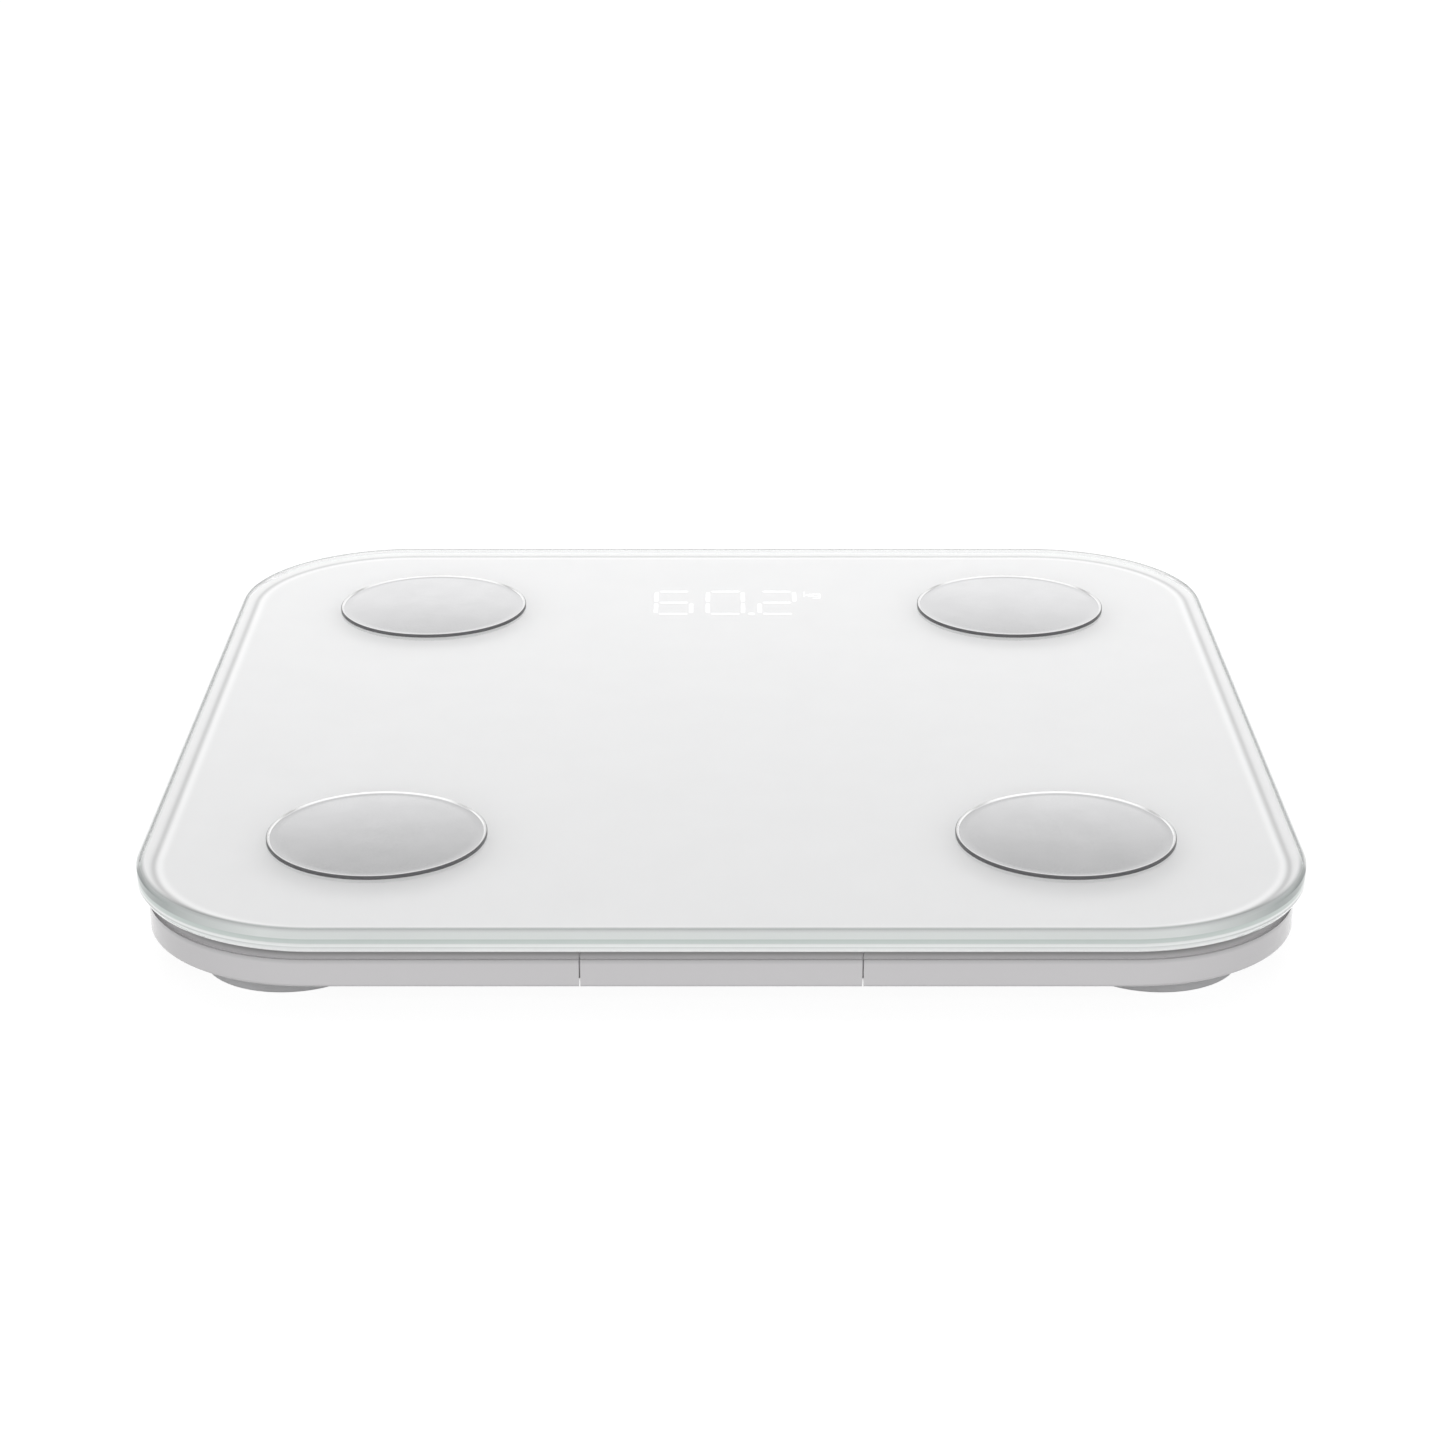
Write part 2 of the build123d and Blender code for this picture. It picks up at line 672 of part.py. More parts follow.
# Battery cradle: a roof on the bay walls, with walls round the batteries and ribs between them
cradle_front_y = battery_ys[0] - battery_diameter / 2 - cradle_side_gap
cradle_rear_y = battery_ys[-1] + battery_diameter / 2 + cradle_side_gap
cradle_y = (cradle_front_y + cradle_rear_y) / 2
cradle_depth = cradle_rear_y - cradle_front_y
cradle_foot = door_plate_z + cradle_floor_gap
tab_z = rib_z + wire_gap + battery_lead_diameter / 2
roof_front_y = cradle_front_y - cradle_wall
tab_walls = [(-(bay_half + cradle_wall / 2), battery_ys[0]), (bay_half + cradle_wall / 2, battery_ys[-1])]
with BuildPart() as battery_cradle:
    roof_half = bay_outer_x + cradle_overhang
    roof_place = (0, (bay_rear_y + roof_front_y) / 2)
    roof_depth = bay_rear_y - roof_front_y
    extrude(rectangles_at([roof_place], roof_z, 2 * roof_half, roof_depth), amount=cradle_roof)
    with BuildSketch(Plane.XY.offset(cradle_foot)):
        with Locations((0, cradle_y)):
            Rectangle(2 * (bay_half + cradle_wall), cradle_depth + 2 * cradle_wall)
            Rectangle(2 * bay_half, cradle_depth, mode=Mode.SUBTRACT)
    extrude(amount=roof_z - cradle_foot)
    rib_places = [(0, y + battery_pitch / 2) for y in battery_ys[:-1]]
    rib_length = battery_length - 2 * bow_reach
    extrude(rectangles_at(rib_places, roof_z, rib_length, cradle_rib), amount=-cradle_rib_height)
    stake_holes = circles_at(stake_places, roof_z, stake_diameter + 2 * stake_clearance)
    extrude(stake_holes, amount=cradle_roof, mode=Mode.SUBTRACT)
    tab_slots = rectangles_at(tab_walls, tab_z, 2 * cradle_wall, tab_width + 2 * tab_clearance)
    extrude(tab_slots, amount=tab_thickness / 2 + tab_clearance, both=True, mode=Mode.SUBTRACT)
save(battery_cradle, "battery_cradle")


# A contact on one end wall: a plate over some batteries, a bow for a flat end, and a tab for a lead
def contact_plate(side, ys, bow_y=None, tab_y=None):
    middle_y = (ys[0] + ys[-1]) / 2
    face_x = side * bay_half
    front_x = side * (bay_half - contact_thickness)
    with BuildPart() as contact:
        with BuildSketch(Plane((face_x, middle_y, battery_z), x_dir=(0, 1, 0), z_dir=(-side, 0, 0))):
            Rectangle(ys[-1] - ys[0] + contact_width, contact_height)
        extrude(amount=contact_thickness)
        if bow_y is not None:
            outer, reach = contact_height / 2, bow_reach - bow_gap
            inner = outer - contact_thickness
            with BuildSketch(Plane((front_x, bow_y, battery_z), x_dir=(-side, 0, 0), z_dir=(0, -side, 0))):
                with BuildLine():
                    ThreePointArc((0, outer), (reach, 0), (0, -outer))
                    Line((0, -outer), (0, -inner))
                    ThreePointArc((0, -inner), (reach - contact_thickness, 0), (0, inner))
                    Line((0, inner), (0, outer))
                make_face()
            extrude(amount=bow_width / 2, both=True)
        if tab_y is not None:
            tab_length = contact_thickness + cradle_wall + tab_reach
            tab_x = front_x + side * tab_length / 2
            tab = rectangles_at([(tab_x, tab_y)], tab_z, tab_length, tab_width)
            extrude(tab, amount=tab_thickness / 2, both=True)
    return contact


front_cell, middle_cell, rear_cell = battery_ys
save(contact_plate(-1, [front_cell], bow_y=front_cell, tab_y=front_cell), "battery_negative_contact")
save(contact_plate(1, [front_cell, middle_cell], bow_y=middle_cell), "battery_link_right")
save(contact_plate(-1, [middle_cell, rear_cell], bow_y=rear_cell), "battery_link_left")
save(contact_plate(1, [rear_cell], tab_y=rear_cell), "battery_positive_contact")

# Battery leads, from the contact tabs to the middle socket
tab_end = bay_half + cradle_wall + tab_reach
lead_turn = bay_wall_x - lead_wall_gap - battery_lead_diameter / 2
cable_end_y = board_front_y + socket_edge
lead_shares = [(0.0, 0.06), (0.67, 0.34), (1.0, 0.68)]
for name, side, y in (("negative", -1, front_cell), ("positive", 1, rear_cell)):
    lead_end = (side * battery_lead_spread, cable_end_y)
    route = [(side * tab_end, y), (side * lead_turn, y)]
    route += points_between((side * lead_turn, bay_rear_y), lead_end, lead_shares)
    route += [lead_end]
    save(wire_along(route, tab_z, battery_lead_diameter), f"battery_lead_{name}")

# Load cell cables, which leave by the notch in the retainer and lie over the ribs
cable_z = rib_z + wire_gap + cable_diameter / 2
exit_y = foot_y - retainer_opening / 2
front_shares = [(0.06, 0.1), (0.23, 0.34), (0.47, 0.62), (0.8, 0.8), (1.0, 0.91)]
rear_shares = [(0.07, 0.31), (0.26, 0.75), (0.56, 0.97), (0.87, 1.0), (1.0, 0.75)]
for name, (sx, sy) in corners.items():
    socket_x = sx * (cell_socket_inner if sy < 0 else cell_socket_outer)
    sweep_y = cable_end_y if sy < 0 else board_front_y - cable_sweep
    notch_end = (sx * foot_x, sy * (exit_y - notch_depth))
    route = [(sx * foot_x, sy * exit_y), notch_end]
    route += points_between(notch_end, (socket_x, sweep_y), front_shares if sy < 0 else rear_shares)
    route += [(socket_x, cable_end_y)]
    save(wire_along(route, cable_z, cable_diameter), f"load_cell_cable_{name}")

# Electrode leads, held against the backing from the terminals to the tall sockets
lead_z = backing_z - wire_gap - lead_diameter / 2
socket_side_x = lead_socket_x + lead_socket_width / 2
front_lead_shares = [(0.34, 0.0), (0.54, 0.16), (0.6, 0.65), (0.69, 1.0)]
rear_lead_shares = [(0.34, 0.0), (0.65, 1.0)]
for name, (sx, sy) in corners.items():
    lead_start = (sx * (electrode_x - tail_end), sy * electrode_y)
    lead_end = (sx * socket_side_x, board_y + sy * lead_socket_spread)
    shares = front_lead_shares if sy < 0 else rear_lead_shares
    route = [lead_start] + points_between(lead_start, lead_end, shares) + [lead_end]
    save(wire_along(route, lead_z, lead_diameter), f"electrode_lead_{name}")
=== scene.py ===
import math
import bpy
import numpy as np
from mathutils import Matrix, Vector


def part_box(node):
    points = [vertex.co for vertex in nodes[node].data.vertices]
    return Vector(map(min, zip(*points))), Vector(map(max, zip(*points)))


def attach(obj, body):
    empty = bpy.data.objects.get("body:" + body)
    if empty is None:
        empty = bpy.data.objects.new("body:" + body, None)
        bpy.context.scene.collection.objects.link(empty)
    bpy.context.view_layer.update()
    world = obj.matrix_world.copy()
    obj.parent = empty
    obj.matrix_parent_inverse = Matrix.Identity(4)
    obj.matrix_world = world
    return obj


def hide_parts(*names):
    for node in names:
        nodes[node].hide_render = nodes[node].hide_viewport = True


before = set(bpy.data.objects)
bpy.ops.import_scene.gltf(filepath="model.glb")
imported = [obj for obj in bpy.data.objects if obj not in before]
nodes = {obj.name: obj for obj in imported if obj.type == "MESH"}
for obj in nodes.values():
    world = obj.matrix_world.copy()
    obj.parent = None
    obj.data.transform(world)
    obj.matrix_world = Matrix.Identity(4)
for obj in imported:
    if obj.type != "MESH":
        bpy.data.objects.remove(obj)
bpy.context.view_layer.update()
print("frame:", len(nodes), "nodes")

mm = 0.001                                   # sizes below are millimetres times this
cornerNames = ["front_left", "front_right", "rear_left", "rear_right"]


# Mesh helpers: every new piece is a grid of points, rows along a profile and columns round a path

def gridFaces(rows, columns):                # quads between neighbouring rows, wrapped round the columns
    row, column = np.meshgrid(np.arange(rows - 1), np.arange(columns), indexing="ij")
    here = row * columns + column
    beside = row * columns + (column + 1) % columns
    return np.stack([here, beside, beside + columns, here + columns], axis=-1).reshape(-1, 4)


def fanFaces(ring, pole, flip):              # triangles from one ring of points to its pole
    after = np.roll(ring, -1)
    fan = np.stack([ring, after, np.full(len(ring), pole)], axis=-1)
    return fan[:, ::-1] if flip else fan


def putMesh(name, points, faces, sharp=35):  # a smooth-shaded mesh with its sharp edges kept
    mesh = bpy.data.meshes.new(name)
    mesh.from_pydata(points.tolist(), [], [face for part in faces for face in part.tolist()])
    mesh.shade_smooth()
    mesh.set_sharp_from_angle(angle=math.radians(sharp))
    mesh.validate()
    piece = bpy.data.objects.new(name, mesh)
    bpy.context.collection.objects.link(piece)
    return piece


def closedGrid(grid, startPole, endPole):    # a wrapped grid with a pole at each end, as points and faces
    rows, columns = grid.shape[:2]
    points = np.concatenate([grid.reshape(-1, 3), [startPole, endPole]])
    ring, pole = np.arange(columns), rows * columns
    start = fanFaces(ring, pole, True)
    end = fanFaces(ring + pole - columns, pole + 1, False)
    return points, [gridFaces(rows, columns), start, end]


def arcOf(centre, radius, start, end, steps):   # points on a circle between two angles in degrees
    angle = np.radians(np.linspace(start, end, steps))
    return np.stack([centre[0] + radius * np.cos(angle), centre[1] + radius * np.sin(angle)], axis=-1)


def softCorners(corners, cut, steps=5):
    # a polyline whose inner corners are short quadratic curves, each cut back by the same length
    corners = np.array(corners)
    share = np.linspace(0, 1, steps)[:, None]
    parts = [corners[:1]]
    for before, corner, after in zip(corners, corners[1:], corners[2:]):
        start = corner + (before - corner) * cut / np.linalg.norm(before - corner)
        end = corner + (after - corner) * cut / np.linalg.norm(after - corner)
        parts.append((1 - share) ** 2 * start + 2 * share * (1 - share) * corner + share ** 2 * end)
    return np.concatenate(parts + [corners[-1:]])


def squarePath(half, corner, arcSteps):
    # a rounded square: four corner arcs, with the outward normal at each point
    angle = np.radians(np.linspace(0, 90, arcSteps))
    turns = np.radians([0, 90, 180, 270])[:, None]
    normal = np.stack([np.cos(turns + angle), np.sin(turns + angle)], axis=-1).reshape(-1, 2)
    centre = (half - corner) * np.array([[1, 1], [-1, 1], [-1, -1], [1, -1]])
    return np.repeat(centre, arcSteps, axis=0) + corner * normal, normal


def keepMark(piece, name, values):           # one value for each point, kept on the mesh for its finish
    layer = piece.data.attributes.new(name, "FLOAT", "POINT")
    layer.data.foreach_set("value", values.astype(np.float32))


def roundedPlate(name, profile, half, corner, arcSteps, marks):
    # a profile of (inset, height) carried round a rounded square: each point steps in along the normal
    path, normal = squarePath(half, corner, arcSteps)
    inset, height = profile[:, 0, None], profile[:, 1, None]
    across = path[None] - inset[..., None] * normal[None]
    level = np.broadcast_to(height[..., None], across.shape[:2] + (1,))
    grid = np.concatenate([across, level], axis=-1)
    points, faces = closedGrid(grid, [0, 0, profile[0, 1]], [0, 0, profile[-1, 1]])
    piece = putMesh(name, points, faces)
    for mark, values in marks.items():       # a value for each point of the grid, or for each of its rows
        around = np.broadcast_to(values, grid.shape[:2])
        keepMark(piece, mark, np.append(around.ravel(), [around[0, 0], around[-1, 0]]))
    return piece


def turnedPiece(name, profile, place, steps, marks, axis="z", turn=(1, 1, 1), sharp=35):
    # a profile of (radius, height) turned about an axis: each point goes round a circle of its own radius
    around = np.linspace(0, 2 * np.pi, steps, endpoint=False)
    radius, height = profile[1:-1, 0, None], profile[1:-1, 1, None]
    level = np.broadcast_to(height, (len(profile) - 2, steps))
    grid = np.stack([radius * np.cos(around), radius * np.sin(around), level], axis=-1)
    points, faces = closedGrid(grid, [0, 0, profile[0, 1]], [0, 0, profile[-1, 1]])
    if axis == "x":
        points = points[:, [2, 0, 1]]        # the same turn about X, which keeps the faces outward
    piece = putMesh(name, points * np.array(turn) + np.array(place), faces, sharp)
    for mark, values in marks.items():       # a value for each point of the profile
        keepMark(piece, mark, np.append(np.repeat(values[1:-1], steps), [values[0], values[-1]]))
    return piece


def prism(outline, low, high):
    # a flat outline carried straight up, closed by two fans about its middle
    level = np.array([low, high])[:, None]
    flat = np.broadcast_to(outline[None], (2,) + outline.shape)
    grid = np.concatenate([flat, np.broadcast_to(level[..., None], (2, len(outline), 1))], axis=-1)
    middle = outline.mean(axis=0)
    return closedGrid(grid, [*middle, low], [*middle, high])


def joined(name, solids):                    # several closed grids in one mesh
    points = np.concatenate([solid[0] for solid in solids])
    counts = np.cumsum([0] + [len(solid[0]) for solid in solids])
    faces = [part + start for solid, start in zip(solids, counts) for part in solid[1]]
    return putMesh(name, points, faces)


# Shader helper: sockets that take part in sums, with every other node from one method

class Wire:
    def __init__(self, tree, socket=None):
        self.tree = tree
        self.socket = socket

    def make(self, kind, settings=None, sockets=None, out=0):
        node = self.tree.nodes.new(kind)
        for key, value in (settings or {}).items():
            if key == "stops":
                ramp = node.color_ramp
                while len(ramp.elements) < len(value):
                    ramp.elements.new(0.5)
                for element, (place, colour) in zip(ramp.elements, value):
                    element.position = place
                    element.color = colour
            else:
                setattr(node, key, value)
        for key, value in (sockets or {}).items():
            self.feed(node.inputs[key], value)
        return Wire(self.tree, node.outputs[out] if node.outputs else None)

    def feed(self, entry, value):
        if isinstance(value, Wire):
            self.tree.links.new(value.socket, entry)
        else:
            entry.default_value = value

    def maths(self, operation, first, second=0.0):
        return self.make("ShaderNodeMath", {"operation": operation}, {0: first, 1: second})

    def __add__(self, other):
        return self.maths("ADD", self, other)

    def __radd__(self, other):
        return self.maths("ADD", other, self)

    def __sub__(self, other):
        return self.maths("SUBTRACT", self, other)

    def __rsub__(self, other):
        return self.maths("SUBTRACT", other, self)

    def __mul__(self, other):
        return self.maths("MULTIPLY", self, other)

    def __rmul__(self, other):
        return self.maths("MULTIPLY", other, self)

    def __truediv__(self, other):
        return self.maths("DIVIDE", self, other)

    def __rtruediv__(self, other):
        return self.maths("DIVIDE", other, self)

    def __pow__(self, other):
        return self.maths("POWER", self, other)

    def __rpow__(self, other):
        return self.maths("POWER", other, self)

    def spread(self, low, high, start=0.0, end=1.0):   # a clamped straight change of range
        sockets = {0: self, 1: low, 2: high, 3: start, 4: end}
        return self.make("ShaderNodeMapRange", {"clamp": True}, sockets)

    def tint(self, first, second):           # from one colour to another as the value goes from 0 to 1
        return self.make("ShaderNodeMix", {"data_type": "RGBA"}, {0: self, 6: first, 7: second}, 2)

    def noise(self, coords, scale, detail=2.0, rough=0.5):
        sockets = {"Vector": coords, "Scale": scale, "Detail": detail, "Roughness": rough}
        return self.make("ShaderNodeTexNoise", None, sockets, "Fac")

    def bump(self, height, strength, distance):
        sockets = {"Height": height, "Strength": strength, "Distance": distance}
        return self.make("ShaderNodeBump", None, sockets)

    def mark(self, name):                    # the value that a piece keeps on its points
        return self.make("ShaderNodeAttribute", {"attribute_name": name}, None, "Fac")

    def part(self, vector, axis):            # one part of a vector
        return self.make("ShaderNodeSeparateXYZ", None, {0: vector}, axis)

    def rays(self, *kinds):                  # 1 for rays of these kinds, 0 for the others
        found = [self.make("ShaderNodeLightPath", None, None, "Is " + kind + " Ray") for kind in kinds]
        return sum(found[1:], found[0]).spread(0.0, 1.0)


def newFinish(name, constants):
    # a material with one shader, whose constants are set on the shader's own sockets
    material = bpy.data.materials.new(name)
    material.use_nodes = True
    tree = material.node_tree
    tree.nodes.clear()
    wire = Wire(tree)
    shader = wire.make("ShaderNodeBsdfPrincipled", None, constants)
    wire.make("ShaderNodeOutputMaterial", None, {"Surface": shader})
    coords = wire.make("ShaderNodeTexCoord", None, None, "Object")
    return material, shader.socket.node.inputs, wire, coords


def findNode(material, kind):                # the one node of its kind in a finish
    return next(node for node in material.node_tree.nodes if node.type == kind)


def grey(level):                             # a colour with three equal parts
    return (level, level, level, 1.0)


# Finishes

core = (0.35, 0.65)                          # the part of a noise's range that is put to use, narrow
wide = (0.3, 0.7)                            # and wide
mouldedLook = {"coatRough": 0.03, "cloud": 14.0, "cloudShare": 0.7, "roughSpan": 0.05, "depth": 0.1 * mm}
metalLook = {"cloud": 40.0, "dull": 0.9, "roughSpan": 0.04, "depth": 0.05 * mm}


def mouldedFinish(name, tone, shift, rough, grain, relief, gloss=0.0):
    # moulded plastic: a fine spark-eroded grain in the surface over slow, faint changes of tone
    look, span = mouldedLook, mouldedLook["roughSpan"]
    constants = {"IOR": 1.49, "Coat Weight": gloss, "Coat Roughness": look["coatRough"]}
    material, into, wire, coords = newFinish(name, constants)
    cloud = wire.noise(coords, look["cloud"], detail=3.0)
    pits = wire.noise(coords, grain, rough=0.6)
    mixed = cloud * look["cloudShare"] + pits * (1 - look["cloudShare"])
    darker = tuple(channel * (1 - shift) for channel in tone[:3]) + (1.0,)
    wire.feed(into["Base Color"], mixed.spread(*core).tint(darker, tone))
    wire.feed(into["Roughness"], pits.spread(*wide, rough - span, rough + span))
    wire.feed(into["Normal"], wire.bump(pits, relief, look["depth"]))
    return material


def metalFinish(name, tone, rough, grain, stretch, relief):
    # bare metal: fine grain, stretched along one direction where it is rolled or brushed
    look, span = metalLook, metalLook["roughSpan"]
    material, into, wire, coords = newFinish(name, {"Metallic": 1.0})
    drawn = wire.make("ShaderNodeMapping", None, {"Vector": coords, "Scale": stretch})
    lines = wire.noise(drawn, grain, detail=3.0, rough=0.6)
    cloud = wire.noise(coords, look["cloud"])
    duller = tuple(channel * look["dull"] for channel in tone[:3]) + (1.0,)
    wire.feed(into["Base Color"], (lines * 0.5 + cloud * 0.5).spread(*core).tint(duller, tone))
    wire.feed(into["Roughness"], lines.spread(*wide, rough - span, rough + span))
    wire.feed(into["Normal"], wire.bump(lines, relief, look["depth"]))
    return material


def clearGlass():
    # clear, and faintly green where the eye looks in through the edge, in bands whose steps are painted
    # light and shade, with painted shade in crescents round the corners and along the top arris; light goes
    # straight to the print
    values = {
        "edge": (0.34, 0.42, 0.385, 1.0), "paintedDark": (0.1, 0.125, 0.12, 1.0),
        "wipe": 30.0, "wipeSpan": (0.45, 0.75), "haze": 0.012,
    }
    material, into, wire, coords = newFinish("clearGlass", {"IOR": 1.5, "Transmission Weight": 1.0})
    # the green of the edge, in bands whose steps are painted light and shade
    body = wire.mark("edgeTint").tint(grey(1.0), values["edge"])
    # painted shade: dark crescents round the corners and a dark outline along the top arris
    wire.feed(into["Base Color"], wire.mark("deepTint").tint(body, values["paintedDark"]))
    wipe = wire.noise(coords, values["wipe"], detail=3.0)   # the faintest unevenness of a wiped pane
    wire.feed(into["Roughness"], wipe.spread(*values["wipeSpan"], 0.0, values["haze"]))
    surface = findNode(material, "OUTPUT_MATERIAL").inputs["Surface"]
    shine = Wire(wire.tree, surface.links[0].from_socket)
    clear = wire.make("ShaderNodeBsdfTransparent")
    through = wire.rays("Shadow", "Diffuse")
    wire.feed(surface, wire.make("ShaderNodeMixShader", None, {0: through, 1: shine, 2: clear}))
    return material


def whitePrint():
    # white enamel, with a painted shade line between two painted highlights along the border, and a grey
    # coat behind
    values = {
        "shadeAndHighlightLines": [                         # distance from the border, width, change of level
            (1.0 * mm, 1.1 * mm, 0.04), (3.25 * mm, 0.8 * mm, -0.26), (4.9 * mm, 1.0 * mm, 0.115),
        ],
        "flat": 0.88, "mottle": 60.0, "uneven": 0.006,
        "white": (0.995, 0.997, 1.0, 1.0), "coat": grey(0.12),
    }
    material, into, wire, coords = newFinish("whitePrint", {"Roughness": 0.55, "IOR": 1.45})
    inset = wire.mark("inset")
    mottle = wire.noise(coords, values["mottle"], detail=3.0)
    level = values["flat"] + mottle.spread(*wide, -values["uneven"], values["uneven"])
    for middle, width, change in values["shadeAndHighlightLines"]:   # a bell shape of the distance from the border
        away = (inset - middle) / width
        level = level + math.e ** (away * away * -1.0) * change
    white = level.spread(0.0, 1.0).tint(grey(0.0), values["white"])
    wire.feed(into["Base Color"], wire.mark("behind").tint(white, values["coat"]))
    return material


def litDisplay():
    # white bars, with small hot spots from the emitters below
    values = {"glow": 0.42, "spots": 260.0, "base": (grey(0.88), grey(0.94)),
              "light": ((0.93, 0.96, 1.0, 1.0), grey(1.0))}
    constants = {"Roughness": 0.5, "Emission Strength": values["glow"]}
    material, into, wire, coords = newFinish("litDisplay", constants)
    spots = wire.noise(coords, values["spots"], detail=1.0).spread(*wide)
    wire.feed(into["Base Color"], spots.tint(*values["base"]))
    wire.feed(into["Emission Color"], spots.tint(*values["light"]))
    return material


def electrodeMetal():
    # bead-blasted stainless steel: a very fine even grain, with a painted highlight on the lip and painted
    # shade on the upright cut edge
    values = {
        "face": ((0.8, 0.8, 0.81, 1.0), (0.9, 0.9, 0.91, 1.0)),
        # the lip colour is a painted highlight, and the cut colour is painted shade
        "lip": grey(0.98), "cut": (0.16, 0.16, 0.165, 1.0),
        "grain": 2600.0, "cloud": 90.0, "grainShare": 0.6, "rough": (0.12, 0.16), "cutRough": 0.25,
        "relief": 0.05, "depth": 0.03 * mm,
    }
    material, into, wire, coords = newFinish("electrodeMetal", {"Metallic": 1.0})
    grain = wire.noise(coords, values["grain"], rough=0.7)
    cloud = wire.noise(coords, values["cloud"])
    mixed = grain * values["grainShare"] + cloud * (1 - values["grainShare"])
    face = mixed.spread(*wide).tint(*values["face"])
    # painted shade on the upright side wall
    cut = wire.mark("cutEdge")
    # painted highlight on the lip, painted shade on the side
    wire.feed(into["Base Color"], cut.tint(wire.mark("lip").tint(face, values["lip"]), values["cut"]))
    wire.feed(into["Roughness"], grain.spread(*wide, *values["rough"]) + cut * values["cutRough"])
    wire.feed(into["Normal"], wire.bump(grain, values["relief"], values["depth"]))
    return material


def footRubber():
    # matt grey rubber with a fine grain and a trace of dust
    values = {"tone": ((0.68, 0.68, 0.69, 1.0), (0.75, 0.75, 0.76, 1.0)), "grain": 1500.0, "dust": 120.0,
              "dustSpan": (0.35, 0.7), "rough": (0.6, 0.75), "relief": 0.2, "depth": 0.08 * mm}
    material, into, wire, coords = newFinish("footRubber", {"IOR": 1.5})
    grain = wire.noise(coords, values["grain"], detail=3.0, rough=0.6)
    dust = wire.noise(coords, values["dust"], detail=4.0)
    wire.feed(into["Base Color"], dust.spread(*values["dustSpan"]).tint(*values["tone"]))
    wire.feed(into["Roughness"], grain.spread(*wide, *values["rough"]))
    wire.feed(into["Normal"], wire.bump(grain, values["relief"], values["depth"]))
    return material


def batteryWrap():
    # bare steel ends, a dark printed sleeve and a plain copper-coloured band near the plus end
    values = {
        "sleeveStart": 0.6 * mm, "sleeveEnd": 42.6 * mm, "band": 34.0 * mm,
        "steel": (0.62, 0.62, 0.6, 1.0), "worn": grey(0.12),
        "paint": ((0.035, 0.04, 0.045, 1.0), (0.55, 0.27, 0.11, 1.0)), "bandMetal": 0.7,
        "scuff": 300.0, "scuffSpan": (0.4, 0.75), "rough": 0.32, "scuffRough": 0.12, "sleeveGloss": 0.06,
    }
    material, into, wire, coords = newFinish("batteryWrap", {"IOR": 1.5})
    along = wire.mark("along")
    below = wire.maths("LESS_THAN", along, values["sleeveEnd"])
    sleeve = wire.maths("GREATER_THAN", along, values["sleeveStart"]) * below
    band = wire.maths("GREATER_THAN", along, values["band"]) * sleeve
    scuff = wire.noise(coords, values["scuff"], detail=4.0).spread(*values["scuffSpan"])
    paint = scuff.tint(band.tint(*values["paint"]), values["worn"])
    wire.feed(into["Base Color"], sleeve.tint(values["steel"], paint))
    wire.feed(into["Metallic"], 1.0 - sleeve * (1.0 - band * values["bandMetal"]))
    rough = values["rough"] + scuff * values["scuffRough"] - sleeve * values["sleeveGloss"]
    wire.feed(into["Roughness"], rough)
    return material


def boardGreen():
    # solder mask over tracks that show as a slightly paler, raised network
    values = {
        "tracks": 260.0, "edge": (0.42, 0.5), "tone": ((0.01, 0.11, 0.05, 1.0), (0.03, 0.22, 0.1, 1.0)),
        "rough": (0.34, 0.26), "relief": 0.3, "depth": 0.03 * mm,
    }
    material, into, wire, coords = newFinish("boardGreen", {"IOR": 1.5})
    cells = wire.make("ShaderNodeTexVoronoi", {"distance": "CHEBYCHEV", "feature": "F1"},
                      {"Vector": coords, "Scale": values["tracks"]}, "Distance")
    track = cells.spread(*values["edge"])
    wire.feed(into["Base Color"], track.tint(*values["tone"]))
    wire.feed(into["Roughness"], track.spread(0.0, 1.0, *values["rough"]))
    wire.feed(into["Normal"], wire.bump(track, values["relief"], values["depth"]))
    return material


def shadeRecess(material):
    # painted shade: the wall darkens towards the set-back shoulder under the glass, most of all at its top
    values = {"from": 14.4 * mm, "to": 18.2 * mm, "most": 0.95, "dark": grey(0.1),
              "straight": 102.0 * mm, "out": 43.9 * mm}
    wire = Wire(material.node_tree)
    entry = findNode(material, "BSDF_PRINCIPLED").inputs["Base Color"]
    tone = Wire(wire.tree, entry.links[0].from_socket)
    coords = wire.make("ShaderNodeTexCoord", None, None, "Object")
    reach = 0.0                              # squared distance from the middle of a rounded square's corner
    for axis in "XY":
        beyond = wire.maths("ABSOLUTE", wire.part(coords, axis)) - values["straight"]
        beyond = wire.maths("MAXIMUM", beyond, 0.0)
        reach = beyond * beyond + reach
    outside = wire.maths("GREATER_THAN", reach ** 0.5, values["out"])
    rise = wire.part(coords, "Z").spread(values["from"], values["to"], 0.0, values["most"])
    wire.feed(entry, (rise * outside).tint(tone, values["dark"]))


